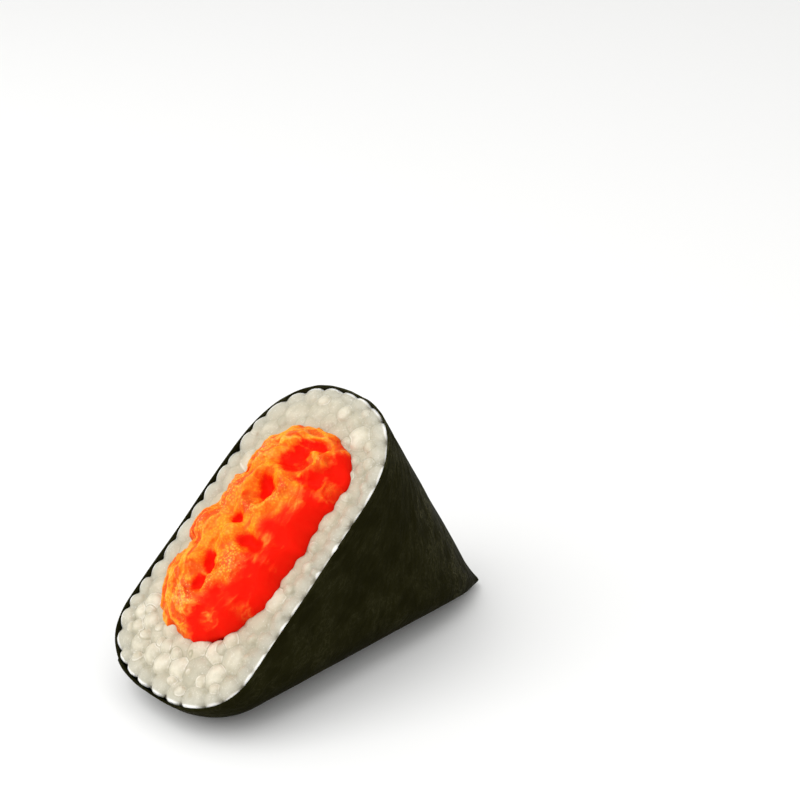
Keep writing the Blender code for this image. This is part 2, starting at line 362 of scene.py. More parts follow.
def creased(point, normal):
    # the sheet's creases fan out from the cut's top end and run down the end side
    side = np.array([point.x + middleX, point.z]) - fanCentre
    reach = math.hypot(*side)
    turn = math.atan2(side[1], side[0])
    fan = Vector((turn * 11, reach * 55, point.y * 260))
    fine = Vector((turn * 27, reach * 90 + 7, point.y * 620))
    fold = noise.noise(fan) * nori["creaseDepth"] + noise.noise(fine) * nori["rippleDepth"]
    soft = noise.noise(point * 95 + Vector((3, 1, 7))) * nori["creaseDepth"]
    rest = smooth(point.z, 0.5 * mm, 14 * mm)  # taut and flat towards the table
    ear = math.exp(-(point - nori["ear"]).length / nori["earSize"])  # a crisp corner where the fold ends
    pulled = Vector((0.7, -0.7, 0)) * ear * nori["earReach"]
    place = point + normal * float((fold + soft - 0.12 * mm) * rest) + pulled
    place.y = min(max(place.y, -form["thickness"] / 2), form["thickness"] / 2)
    return place


def makeNori():
    bm = bmesh.new()
    rows = []
    for y, points in wrapOutlines():
        rows.append([bm.verts.new((x - middleX, y, z)) for x, z in points])
    for low, high in zip(rows, rows[1:]):
        for j in range(len(low) - 1):
            bm.faces.new((low[j], low[j + 1], high[j + 1], high[j]))
    flatFace(bm, rows[0], nori["facePitch"])
    flatFace(bm, rows[-1], nori["facePitch"])
    bmesh.ops.remove_doubles(bm, verts=bm.verts, dist=0.01 * mm)
    bmesh.ops.recalc_face_normals(bm, faces=bm.faces)
    bm.normal_update()
    inside = onCut(form["cutReach"] / 2, 0, -10 * mm)
    face = max(bm.faces, key=lambda f: f.calc_center_median().y)
    if face.normal.dot(face.calc_center_median() - inside) < 0:
        bmesh.ops.reverse_faces(bm, faces=bm.faces)
        bm.normal_update()
    moved = {vertex: creased(vertex.co, vertex.normal) for vertex in bm.verts}
    for vertex, place in moved.items():
        vertex.co = place
    mesh = bpy.data.meshes.new("noriSheet")
    bm.to_mesh(mesh)
    bm.free()
    mesh.shade_smooth()
    sheet = bpy.data.objects.new("noriSheet", mesh)
    bpy.context.scene.collection.objects.link(sheet)
    wall = sheet.modifiers.new("wall", "SOLIDIFY")
    wall.thickness, wall.offset = nori["wall"], -1
    mesh = evaluated(sheet, "nori")
    bpy.data.objects.remove(sheet)
    return addPiece("noriWrap", mesh, noriMaterial(), ["nori"])


def noriMaterial():
    surface = Surface("nori", roughness=0.45, specular=0.004)
    x, y, z = surface.parts(surface.place())
    sideX, sideZ = x - (fanCentre[0] - middleX), z - fanCentre[1]
    turn = surface.sum("ARCTAN2", sideZ, sideX)
    reach = (sideX * sideX + sideZ * sideZ) ** 0.5
    sway = surface.grain(surface.place(), 160, 2, 0.5)
    streaks = surface.grain(surface.vector(turn * 34 + sway * 5, reach * 300, y * 900), 1.0, 2, 0.6)
    fibres = surface.grain(surface.vector(turn * 70 + sway * 9, reach * 560, y * 1700), 1.0, 2, 0.6)
    patches = surface.grain(surface.place(), 110, 3, 0.6)
    pores = surface.grain(surface.place(), 1500, 3, 0.7)
    depth = sideX * float(intoEnd[0]) + sideZ * float(intoEnd[1])
    # near the end side, most towards the cut's top: where the painted sheen lies
    endSheen = surface.range(depth, 0.015, 0.004) * (0.35 + surface.range(reach, 0.060, 0.010) * 0.65)
    tone = surface.range(patches * 0.7 + streaks * 0.3, 0.38, 0.62)
    colour = surface.blend(tone, (0.0098, 0.0092, 0.0022, 1), (0.0150, 0.0142, 0.0040, 1))
    # lighter near the end side: painted sheen on the rounded shoulder
    colour = surface.blend(endSheen * 0.3, colour, (0.020, 0.0188, 0.0055, 1))
    # painted shade: darker towards the table, against the light the floor throws up
    colour = surface.blend(surface.range(z, 0.014, 0.002) * 0.5, colour, (0.0050, 0.0046, 0.0008, 1))
    # thin light lines along the creases: painted highlights where the creases catch the light, in patches and strongest
    # near the end side
    thin = surface.range(surface.sum("ABSOLUTE", streaks - 0.5, 0.0), 0.026, 0.004)
    hair = surface.range(surface.sum("ABSOLUTE", fibres - 0.5, 0.0), 0.040, 0.006)
    wrinkling = 0.45 + surface.range(patches, 0.40, 0.62) * 0.55
    breaks = surface.grain(surface.vector(turn * 20, reach * 260, y * 500), 1.0, 1, 0.5)
    broken = surface.range(patches * 0.4 + breaks * 0.6, 0.45, 0.55) * wrinkling
    creaseSheen = (thin * 0.6 + hair * 0.7).clamped() * broken
    colour = surface.blend((creaseSheen * (0.2 + endSheen * 0.9)).clamped(), colour, (0.095, 0.090, 0.046, 1))
    height = (streaks * 0.55 + fibres * 0.3) * wrinkling + pores * 0.15
    return surface.wear(
        Base_Color=colour,
        Roughness=0.38 + pores * 0.2,
        Normal=surface.bump(height, 0.9 * mm, 1.0),
    )


# ---- the filling

filling = {
    "length": 47 * mm,
    "width": 24.6 * mm,
    "crown": 5.2 * mm,
    "depth": 15 * mm,
    "upTheCut": 43.8 * mm,
    "alongSteps": 250,
    "crownSteps": 180,
    "underSteps": 30,
    "alongPower": 0.86,
    "endPower": 3.3,
    "acrossPower": 0.9,
    "foldHeight": 0.32 * mm,
    "wrinkleHeight": 0.42 * mm,
    "roeHeight": 0.12 * mm,
    # hollows and folds between the lobes: along, across, half length, half width, turn, depth and redness, the redness
    # being painted shade in the hollow
    "hollows": (
        (7.6, 0.6, 3.1, 1.5, 32, 3.0, 1.0), (0.2, 2.3, 0.95, 1.8, -8, 2.6, 1.0), (-2.6, -3.7, 1.6, 2.9, 0, 1.5, 0.8),
        (-9.1, 2.0, 2.7, 1.25, 38, 2.4, 1.0), (-13.7, 1.5, 1.9, 1.3, 10, 2.2, 1.0), (14.7, -0.9, 2.3, 3.2, 0, 2.2, 1.2),
        (19.2, -2.0, 1.3, 3.0, 8, 1.6, 1.1), (16.7, -10.2, 1.6, 2.4, 0, 1.4, 1.0), (9.3, 8.9, 1.3, 1.0, 0, 1.3, 0.5),
        (17.2, 4.9, 1.3, 0.6, 20, 0.9, 0.5), (-7.0, 9.8, 0.7, 2.4, 10, 0.9, 0.2), (1.0, 7.6, 0.7, 2.8, -10, 0.8, 0.2),
        (-4.6, 3.5, 2.3, 0.6, 0, 1.1, 0.35), (12.6, -7.6, 1.4, 1.6, 0, 0.8, 0.5), (4.0, 9.6, 0.8, 1.6, 30, 0.6, 0.15),
        (-16.0, 7.0, 0.7, 2.2, 40, 0.6, 0.15), (9.5, -3.2, 1.0, 0.7, 0, 0.6, 0.4), (-12.0, 9.4, 0.6, 1.8, -15, 0.5, 0.15), (17.1, -0.6, 1.4, 2.0, 0, 0.9, 1.1), (12.2, -4.6, 1.0, 2.0, 0, 0.5, 0.6),
        (-9.5, -8.6, 1.6, 1.2, 0, 0.6, 0.3), (0.5, -9.0, 1.2, 1.6, 0, 0.5, 0.3),
    ),
    # lobes and crests: along, across, half length, half width, turn and height
    "lobes": (
        (-3.1, 0.5, 2.5, 2.3, 0, 1.5), (-7.6, -3.6, 3.2, 2.7, 0, 1.2), (-3.3, 9.6, 4.0, 3.0, 0, 1.5),
        (-10.7, 6.1, 3.4, 2.7, 0, 1.4), (4.4, 7.4, 3.4, 2.5, 0, 0.9), (18.8, 3.2, 2.6, 2.5, 0, 1.0),
        (14.2, 5.8, 2.9, 2.7, 0, 1.1), (20.3, -8.0, 1.5, 1.7, 0, 0.9), (17.9, -6.4, 1.8, 1.3, -20, 1.1),
        (14.4, -5.8, 1.9, 1.2, -30, 1.1), (22.0, -3.6, 1.3, 3.0, 0, 0.6), (12.9, -11.0, 2.0, 1.6, 0, 0.8),
        (-12.0, -1.9, 1.8, 1.5, 0, 1.1), (-17.2, 1.6, 3.2, 3.0, 0, 1.1), (-15.5, -8.0, 3.2, 3.0, 0, 0.9),
        (-5.0, -9.2, 3.6, 2.6, 0, 0.9), (5.5, -8.2, 3.8, 2.8, 0, 0.8), (1.4, -3.8, 2.0, 2.2, 0, 0.7),
    ),
    # patches where single eggs of roe show: along, across, half length, half width and turn
    "roe": ((-7.4, -3.2, 3.4, 3.0, 0), (4.2, 7.8, 4.6, 2.6, 0), (3.0, 0.6, 1.4, 2.4, 0), (8.0, -3.0, 2.6, 1.6, 0),
            (-17.0, 2.6, 3.0, 3.6, 0), (14.5, 6.6, 3.0, 2.2, 0), (-12.4, -1.2, 1.6, 1.8, 0), (-4.0, 9.6, 3.4, 2.0, 0)),
    "ring": (7.4, 0.4, 4.5, 4.0, 1.5),  # along, across, half length, half width and height of its crest
    # where the paste turns from creamy orange to red, the red being painted shade on the near side away from the light,
    # as across for each along
    "shadedSideFrom": ((-23, -1.5), (-20, -0.3), (-17, -1.2), (-14, -1.5), (-11, -5), (-9, -6), (-5, -5), (-1, -4.8),
                (2, -4.0), (5, -6), (10, -6.5), (14, -6), (17, -9), (19.5, -7.5), (22, -10.5)),
    # paler patches within the red, painted light on raised parts there: along, across, half length, half width, turn
    # and strength
    "litPatches": ((-14.0, -9.6, 2.0, 2.6, 0, 0.6), (-4.3, -9.2, 1.2, 3.0, 0, 0.45), (-0.4, -6.4, 1.2, 2.4, 0, 0.4),
              (7.0, -7.6, 3.0, 1.6, 0, 0.45), (13.0, -10.6, 2.6, 1.7, 0, 0.8), (-18.5, -5.0, 2.0, 2.4, 0, 0.4),
              (16.0, -4.4, 3.2, 1.0, -35, 0.9)),
    # swells of the edges: along, half length, and how far out at the far and at the near side
    "swells": ((-3.4, 3.4, 1.5, -0.5), (-13.5, 4.2, 1.9, -0.2), (17.0, 4.0, 0.8, 1.9), (9.2, 1.1, -0.9, 0),
               (0.9, 1.2, -0.8, 0.4), (-8.0, 1.3, -0.8, 0), (5.0, 4.0, 0, -0.6), (21.5, 2.0, 0.8, 1.4)),
}


def wander(along, across, turn):
    # a slow wave between -1 and 1 that makes the paste's forms uneven
    waves = np.sin(along * 1.3 + across * 0.7 + turn) + np.sin(across * 1.7 - along * 0.9 + 2 * turn)
    return (waves + 0.7 * np.sin(along * 2.6 + across * 2.1 + 3 * turn)) / 2.7


def hills(along, across, entries):
    # each entry's share at each point, 1 in its middle, for a list of along, across, half sizes and turn
    shares = []
    for middleAlong, middleAcross, long, wide, turn in entries:
        cos, sin = math.cos(math.radians(turn)), math.sin(math.radians(turn))
        a = ((along - middleAlong) * cos + (across - middleAcross) * sin) / long
        b = ((across - middleAcross) * cos - (along - middleAlong) * sin) / wide
        shares.append(np.exp(-((a * a + b * b) ** 1.3)))
    return shares


def fillingRelief(along, across):
    # height of the crown, and its redness in the hollows as painted shade, with along and across in millimetres
    along, across = along + 0.35 * wander(along, across, 1), across + 0.35 * wander(along, across, 4)
    height, red = np.zeros(along.shape), np.zeros(along.shape)
    for share, entry in zip(hills(along, across, [e[:5] for e in filling["lobes"]]), filling["lobes"]):
        height += share * entry[5] * 1.25
    ringAlong, ringAcross, long, wide, rise = filling["ring"]
    reach = np.hypot((along - ringAlong) / long, (across - ringAcross) / wide)
    height += rise * np.exp(-(((reach - 1) * 3.4) ** 2))
    for share, entry in zip(hills(along, across, [e[:5] for e in filling["hollows"]]), filling["hollows"]):
        height -= share * entry[5] * 0.78
        red = np.maximum(red, share * entry[6])
    return height, red


def fillingShape():
    # a grid of points over the lump, rows along it and columns round it from the side at -Y over the crown
    share = -np.cos(np.linspace(0, math.pi, filling["alongSteps"] + 1))[:, None]
    over = np.linspace(0, math.pi, filling["crownSteps"], endpoint=False)
    under = math.pi + np.linspace(0, math.pi, filling["underSteps"], endpoint=False)
    turn = np.concatenate([over, under])[None]
    along = np.sign(share) * abs(share) ** filling["alongPower"]
    girth = np.sqrt(np.clip(1 - abs(along) ** filling["endPower"], 0, 1))
    across, out = np.cos(turn) * girth, np.sin(turn) * girth
    up = along * filling["length"] / 2 + 0 * turn
    swell = np.zeros(up.shape)
    for middle, long, far, near in filling["swells"]:
        hill = mm * np.exp(-(((up / mm - middle) / long) ** 2))
        swell += hill * (far * np.clip(across, 0, 1) - near * np.clip(-across, 0, 1))
    swell += 0.4 * mm * wander(up / mm, 3 * np.sign(across), 2) * across
    side = np.sign(across) * abs(across) ** filling["acrossPower"] * filling["width"] / 2 + swell
    side = side + 2.0 * mm * smooth(-up, 10 * mm, 23 * mm)
    up = up + 0.5 * mm * wander(side / mm, 4 * share, 3) * share ** 5
    height, red = fillingRelief(up / mm, side / mm)
    crown = out * filling["crown"] + height * mm * np.clip(out * 1.6, 0, 1)
    return up, side, np.where(out > 0, crown, out * filling["depth"]), red


def makeFilling():
    up, side, out, red = fillingShape()
    flat = np.cos(form["cutTilt"]), np.sin(form["cutTilt"])
    total = up + filling["upTheCut"]
    points = np.stack([total * flat[0] - out * flat[1] - middleX, side, total * flat[1] + out * flat[0]], axis=-1)
    rows, columns = up.shape
    corners = []
    for i in range(rows - 1):
        for j in range(columns):
            after = (j + 1) % columns
            corners.append((i * columns + j, i * columns + after, (i + 1) * columns + after, (i + 1) * columns + j))
    mesh = bpy.data.meshes.new("filling")
    mesh.from_pydata(points.reshape(-1, 3).tolist(), [], corners)
    # orange on the far side and red on the near side, away from the light: painted shade
    boundary = np.interp(up / mm, *np.array(filling["shadedSideFrom"]).T)
    paste = smooth(side / mm - boundary, -1.9, 1.9)
    for share, entry in zip(hills(up / mm, side / mm, [e[:5] for e in filling["litPatches"]]), filling["litPatches"]):
        paste = np.maximum(paste, entry[5] * share)
    paste *= 1 - 0.3 * smooth(up, 17 * mm, 21 * mm) * smooth(-side, 2 * mm, 6 * mm)
    red = smooth(red, 0.15, 0.8)
    roe = np.max(hills(up / mm, side / mm, filling["roe"]), axis=0)
    ring = (abs(up * 2 / filling["length"]) ** 2.6 + abs(side * 2 / filling["width"]) ** 2.2) ** 0.42
    for name, values in (("paste", paste), ("red", red), ("roe", roe), ("ring", ring), ("along", up / mm)):
        mesh.attributes.new(name, "FLOAT", "POINT").data.foreach_set("value", values.ravel().astype(np.float32))
    bm = bmesh.new()
    bm.from_mesh(mesh)
    bmesh.ops.remove_doubles(bm, verts=bm.verts, dist=0.004 * mm)
    bmesh.ops.dissolve_degenerate(bm, edges=bm.edges, dist=0.002 * mm)
    bmesh.ops.recalc_face_normals(bm, faces=bm.faces)
    bm.normal_update()
    paste, red, roe, ring, along = (bm.verts.layers.float[name] for name in ("paste", "red", "roe", "ring", "along"))
    foldLayer = bm.verts.layers.float.new("fold")
    moved = {}
    for vertex in bm.verts:
        creamy = vertex[paste] * (1 - min(1, vertex[red]))
        bent = vertex.co + noise.noise_vector(vertex.co * 300) * 1.0 * mm
        fold = noise.noise(bent * 400) + 0.5 * noise.noise(bent * 850)
        sway = noise.noise(vertex.co * 170) * 0.9
        line = Vector((vertex[along] * 0.16, vertex[ring] * 9 + sway, vertex.co.y * 160))
        wrinkle = 0.5 - abs(noise.noise(line)) * 2.6 - abs(noise.noise(line * 2.3)) * 0.9
        flank = float(smooth(vertex[ring], 0.4, 0.85))
        eggs = noise.noise(vertex.co * 2300) + 0.7 * noise.noise(vertex.co * 1350)
        rise = fold * filling["foldHeight"] * (0.3 + 0.7 * creamy)
        calm = 1 - float(smooth(vertex[along], 17, 20) * smooth(-vertex.co.y, 2 * mm, 5 * mm))
        rise += wrinkle * filling["wrinkleHeight"] * creamy * (0.25 + 0.75 * flank) * calm
        rise += eggs * filling["roeHeight"] * (0.1 + creamy * (0.3 + vertex[roe]))
        vertex[foldLayer] = 0.5 + 0.45 * fold + 0.6 * wrinkle * (0.3 + 0.7 * flank)
        moved[vertex] = vertex.co + vertex.normal * rise
    for vertex, place in moved.items():
        vertex.co = place
    bm.normal_update()
    # how far each face turns towards the light: painted light and shade on the paste
    facing = Vector((0, 0.45, 0)) + 0.15 * Vector((upCut[0], 0, upCut[1])) + 0.85 * Vector((outOfCut[0], 0, outOfCut[1]))
    paintedLightLayer = bm.verts.layers.float.new("facing")
    for vertex in bm.verts:
        vertex[paintedLightLayer] = float(smooth(vertex.normal.dot(facing), 0.1, 0.95))
    bm.to_mesh(mesh)
    bm.free()
    mesh.shade_smooth()
    return addPiece("fillingLump", mesh, fillingMaterial(), ["filling"])


def fillingMaterial():
    surface = Surface(
        "filling", roughness=0.45, specular=0.04, Subsurface_Weight=0.5, Subsurface_Scale=2.2 * mm,
        Subsurface_Radius=(1.0, 0.07, 0.03), Coat_Roughness=0.25,
    )
    place = surface.place()
    paste, red, roe = surface.attribute("paste"), surface.attribute("red"), surface.attribute("roe")
    fold, facing = surface.attribute("fold"), surface.attribute("facing")
    mottle = surface.grain(place, 330, 3, 0.6)
    fine = surface.grain(place, 2400, 3, 0.7)
    eggs = surface.cells(place, 1900)
    middling = surface.grain(place, 850, 3, 0.65)
    # the share runs from red to orange: red for painted shade on the near side, in the hollows and on faces turned from
    # the light; orange for painted light on faces turned to it and on raised folds
    share = paste + (facing - 0.75) * 0.35 - red * 1.05 + (mottle - 0.5) * 0.6 + (fold - 0.5) * 0.2
    share = (share + ((fine - 0.5) * 0.7 + (middling - 0.5) * 0.8) * (paste * 0.8 + 0.12)).clamped()
    colour = surface.ramp(
        share,
        [(0.0, (0.84, 0.0085, 0.001, 1)), (0.3, (0.88, 0.024, 0.002, 1)), (0.6, (0.92, 0.12, 0.004, 1)),
         (1.0, (0.95, 0.32, 0.010, 1))],
    )
    # painted shade in the fold valleys
    foldShade = surface.range(fold, 0.42, 0.1) * share
    colour = surface.blend(foldShade * 0.75, colour, (0.70, 0.04, 0.002, 1))
    # painted highlight on the fold crests
    foldHighlight = surface.range(fold, 0.6, 0.95) * share
    colour = surface.blend(foldHighlight * 0.5, colour, (1.0, 0.50, 0.05, 1))
    ring, along = surface.attribute("ring"), surface.attribute("along")
    bend = surface.grain(place, 240, 2, 0.5)
    contour = surface.grain(surface.vector(along * 0.25, ring * 17 + bend * 5, paste), 1.0, 1, 0.5)
    flank = surface.range(ring, 0.35, 0.8) * share
    # dark and light lines along the flank: painted shade in the wrinkles and painted highlight on their crests
    colour = surface.blend(surface.range(contour, 0.46, 0.36) * flank * 0.8, colour, (0.78, 0.05, 0.002, 1))
    colour = surface.blend(surface.range(contour, 0.56, 0.66) * flank * 0.6, colour, (1.0, 0.52, 0.07, 1))
    # darker between the eggs: painted shade in the gaps between them
    gap = surface.range(eggs, 0.35, 0.6) * (roe * 0.6 + 0.4) * share
    colour = surface.blend(gap * (0.85 - flank * 0.3), colour, (0.74, 0.05, 0.002, 1))
    # each egg lighter: a painted highlight on it
    eggHighlight = surface.range(eggs, 0.3, 0.08) * (roe * 0.75 + 0.2) * share
    colour = surface.blend(eggHighlight, colour, (1.0, 0.56, 0.12, 1))
    height = (1 - eggs) * (roe * 0.8 + 0.25) * 0.6 + fine * 0.35
    return surface.wear(
        Base_Color=colour,
        Roughness=0.62 - share * 0.22,
        Coat_Weight=share * (roe * 0.3 + 0.15),
        Normal=surface.bump(height * (share * 0.9 + 0.06), 0.35 * mm, 0.9),
    )


# ---- the rice

rice = {
    "wallInset": 0.36 * mm,
    "count": 98,
    "sizeSpread": 2.0,
    "overlap": 1.42,  # how far a grain would reach past its own cell if its neighbours let it
    "pearlShare": 0.3,
    "looseCount": 34,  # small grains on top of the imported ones
    "looseSize": (1.35 * mm, 1.8 * mm),
    "coreDepth": 1.3 * mm,
    "pressedOver": 0.3 * mm,
    "voxel": 0.25 * mm,
    "seed": 7,
    "grain": {"Segments": 10, "Rings": 7, "Dent Depth": 0.2 * mm, "Dent Scale": 420.0},
}


def cutRim(inset):
    # the loop of the wrap's edge on the cut face, drawn in by inset, as (up, across)
    half = form["thickness"] / 2 - inset
    lower, upper = [], []
    for y in evenStations(half, 61):
        share = roundShare(y, half)
        low = inset + (form["lowerRound"] - inset) * share
        end = inset + (form["endRound"] - inset) * share
        lower.append((lowEnd @ upCut + low, y))
        top = topEnd + intoEnd * end
        top = top + downEnd * (-(top @ outOfCut) / (downEnd @ outOfCut))
        upper.append((top @ upCut, y))
    return lower + upper[::-1]


def fillingRim(grow=0.0):
    loop = []
    for i in range(120):
        turn = 2 * math.pi * i / 120
        along = math.copysign(abs(math.cos(turn)) ** filling["alongPower"], math.cos(turn))
        girth = math.sqrt(max(0, 1 - abs(along) ** filling["endPower"])) ** filling["acrossPower"]
        loop.append((
            filling["upTheCut"] + along * (filling["length"] / 2 + grow),
            math.copysign(girth, math.sin(turn)) * (filling["width"] / 2 + grow),
        ))
    return loop


def packCells(draw, count, rim, mouth):
    # shares the band between the rim and the filling out evenly: each cell's middle, axes and half sizes
    low, high = rim[0].min(axis=0), rim[0].max(axis=0)
    grid = np.stack(np.meshgrid(*(np.arange(low[i], high[i], 0.3 * mm) for i in (0, 1))), axis=-1).reshape(-1, 2)
    grid = grid[(outsideBy(grid, rim)[0] < 0) & (outsideBy(grid, mouth)[0] > -0.5 * mm)]
    middles = grid[draw.choice(len(grid), count, replace=False)]
    weight = draw.uniform(-1, 1, count) * rice["sizeSpread"] * mm * mm  # some cells grow at their neighbours' cost
    for _ in range(40):
        reach = ((grid[:, None] - middles[None]) ** 2).sum(axis=2) - weight[None]
        own = reach.argmin(axis=1)
        for i in range(count):
            if np.any(own == i):
                middles[i] = grid[own == i].mean(axis=0)
    cells = []
    for i in range(count):
        mine = grid[own == i] - middles[i]
        if len(mine) > 8:
            size, axes = np.linalg.eigh(mine.T @ mine / len(mine))
            cells.append((middles[i], axes[:, 1], 2 * math.sqrt(size[1]), 2 * math.sqrt(size[0])))
    return cells


def looseSpots(draw, rim, mouth):
    # spots for the grains on top, more of them at the lower end and on the near side
    low, high = rim[0].min(axis=0), rim[0].max(axis=0)
    spots = draw.uniform(low, high, (6000, 2))
    inner = outsideBy(spots, rim)[0] < -2.0 * mm
    outer = outsideBy(spots, mouth)[0] > 1.5 * mm
    wanted = np.maximum(smooth(24 * mm - spots[:, 0], 0, 6 * mm), 0.45 * smooth(-spots[:, 1], 2 * mm, 8 * mm)) + 0.12
    spots = spots[inner & outer & (draw.uniform(0, 1, len(spots)) < wanted)]
    kept = []
    for spot in spots:
        if len(kept) < rice["looseCount"] and all(np.hypot(*(spot - other)) > 2.9 * mm for other in kept):
            kept.append(spot)
    return kept


def grainPoints():
    # one point for each grain, with its turn, size, tint and warmth
    draw = np.random.default_rng(rice["seed"])
    rim, mouth = convexEdges(cutRim(rice["wallInset"])), convexEdges(fillingRim(-0.9 * mm))
    cells = packCells(draw, rice["count"], rim, mouth)
    toRim = outsideBy(np.array([cell[0] for cell in cells]), rim)[0]
    toMouth = outsideBy(np.array([cell[0] for cell in cells]), mouth)[0]
    places, turns, sizes, tints, warmths = [], [], [], [], []
    for i, (middle, axis, long, wide) in enumerate(cells):
        plump = smooth(26 * mm - middle[0], 0, 6 * mm)  # rounder pearls at the cut's lower end
        loose = max(plump, smooth(-middle[1], -2 * mm, 8 * mm)) * 0.7 + 0.3  # and more fused rice on the far side
        overlap = rice["overlap"] * draw.uniform(0.95, 1.05) + 0.12 * (1 - loose)
        tilt, turned = draw.normal(0, 0.1), draw.normal(0, 0.25)
        pearl = draw.uniform() < rice["pearlShare"] * loose + 0.35 * plump
        if toRim[i] > -1.15 * wide:
            deep, height, tint = draw.uniform(1.4, 1.6), -1.0 + draw.normal(0, 0.08), draw.uniform(0.1, 0.6)
            overlap, turned = 0.80 * overlap, 0
        elif pearl:
            deep, height, tint = draw.uniform(1.7, 2.0), -1.0 + draw.normal(0, 0.12), draw.uniform(0.7, 1)
            long, wide, overlap = 0.7 * long + 0.3 * wide, 0.3 * long + 0.7 * wide, 0.86 * overlap
        else:
            deep, height, tint = draw.uniform(1.3, 1.6), -1.0 + draw.normal(0, 0.16) * loose, draw.uniform(0.1, 0.7)
        deep, height = deep * mm, height * mm
        places.append(onCut(middle[0], middle[1], height))
        sizes.append((long * overlap, wide * overlap, deep))
        turns.append((math.atan2(axis[1], axis[0]) + turned, tilt))
        tints.append(tint)
        warmths.append(math.exp(-max(toMouth[i], 0) / (2.2 * mm)))
    for spot in looseSpots(draw, rim, mouth):
        long = draw.uniform(*rice["looseSize"])
        places.append(onCut(spot[0], spot[1], draw.uniform(-0.75, -0.5) * mm))
        sizes.append((long, long * draw.uniform(0.8, 0.95), long * 0.85))
        turns.append((draw.uniform(0, math.pi), draw.normal(0, 0.15)))
        tints.append(draw.uniform(0.5, 0.75) + 0.2 * float(smooth(26 * mm - spot[0], 0, 6 * mm)))
        warmths.append(0.2)
    return places, turns, sizes, np.array(tints), np.array(warmths)


def spotsOf(mesh):
    # the vertices' places on the cut face and how far out of it they are
    points = np.zeros(len(mesh.vertices) * 3)
    mesh.vertices.foreach_get("co", points)
    points = points.reshape(-1, 3)
    side = points[:, [0, 2]] + np.array([middleX, 0])
    return np.stack([side @ upCut, points[:, 1]], axis=1), side @ outOfCut


def pressGrains(mesh):
    # flattens the grains where they lie against the wrap and where the knife has passed
    spots, out = spotsOf(mesh)
    inset = rice["wallInset"] + np.clip(-out, 0, None) * 0.22 - np.clip(out, 0, 0.3 * mm) * 0.8
    away, outward = outsideBy(spots, convexEdges(cutRim(0.0)))
    spots -= outward * np.clip(away + inset, 0, None)[:, None]
    over = out - rice["pressedOver"]
    out = np.where(over > 0, rice["pressedOver"] + 0.7 * over, out)
    side = spots[:, :1] * upCut + out[:, None] * outOfCut
    points = np.stack([side[:, 0] - middleX, spots[:, 1], side[:, 1]], axis=1)
    mesh.vertices.foreach_set("co", points.ravel())
    mesh.update()


def grainTree(material):
    # points in, whole grains out
    tree = bpy.data.node_groups.new("riceGrains", "GeometryNodeTree")
    sockets = tree.interface
    sockets.new_socket("Geometry", in_out="INPUT", socket_type="NodeSocketGeometry")
    for label, value in rice["grain"].items():
        kind = "NodeSocketInt" if isinstance(value, int) else "NodeSocketFloat"
        sockets.new_socket(label, in_out="INPUT", socket_type=kind)
    sockets.new_socket("Geometry", in_out="OUTPUT", socket_type="NodeSocketGeometry")

    def add(kind, settings=None, links=None):
        node = tree.nodes.new(kind)
        for label, value in (settings or {}).items():
            setattr(node, label, value)
        for label, value in (links or {}).items():
            if isinstance(value, bpy.types.NodeSocket):
                tree.links.new(value, node.inputs[label])
            else:
                node.inputs[label].default_value = value
        return node

    given = add("NodeGroupInput").outputs
    ball = add("GeometryNodeMeshUVSphere", links={"Segments": given["Segments"], "Rings": given["Rings"], "Radius": 1.0})
    turn = add("GeometryNodeInputNamedAttribute", {"data_type": "FLOAT_VECTOR"}, {"Name": "turn"})
    size = add("GeometryNodeInputNamedAttribute", {"data_type": "FLOAT_VECTOR"}, {"Name": "size"})
    placed = add("GeometryNodeInstanceOnPoints", links={
        "Points": given["Geometry"], "Instance": ball.outputs["Mesh"],
        "Rotation": turn.outputs["Attribute"], "Scale": size.outputs["Attribute"],
    })
    whole = add("GeometryNodeRealizeInstances", links={"Geometry": placed.outputs["Instances"]})
    place = add("GeometryNodeInputPosition")
    dents = add("ShaderNodeTexNoise", links={
        "Vector": place.outputs["Position"], "Scale": given["Dent Scale"], "Detail": 1.0,
    })
    centred = add("ShaderNodeVectorMath", {"operation": "SUBTRACT"}, {0: dents.outputs["Color"], 1: (0.5, 0.5, 0.5)})
    depth = add("ShaderNodeMath", {"operation": "MULTIPLY"}, {0: given["Dent Depth"], 1: 4.0})
    shift = add("ShaderNodeVectorMath", {"operation": "SCALE"}, {0: centred.outputs[0], "Scale": depth.outputs[0]})
    uneven = add("GeometryNodeSetPosition", links={"Geometry": whole.outputs[0], "Offset": shift.outputs[0]})
    shaded = add("GeometryNodeSetShadeSmooth", links={0: uneven.outputs[0]})
    dressed = add("GeometryNodeSetMaterial", links={"Geometry": shaded.outputs[0], "Material": material})
    add("NodeGroupOutput", links={0: dressed.outputs[0]})
    return tree


def tiltedAxes(yaw, tilt):
    # a grain's axes: its long one lies in the cut face at yaw, then tips out of it
    up, across, out = Vector((upCut[0], 0, upCut[1])), Vector((0, 1, 0)), Vector((outOfCut[0], 0, outOfCut[1]))
    long = up * math.cos(yaw) + across * math.sin(yaw)
    wide = across * math.cos(yaw) - up * math.sin(yaw)
    long = long * math.cos(tilt) + out * math.sin(tilt)
    return Matrix((long, wide, long.cross(wide)))


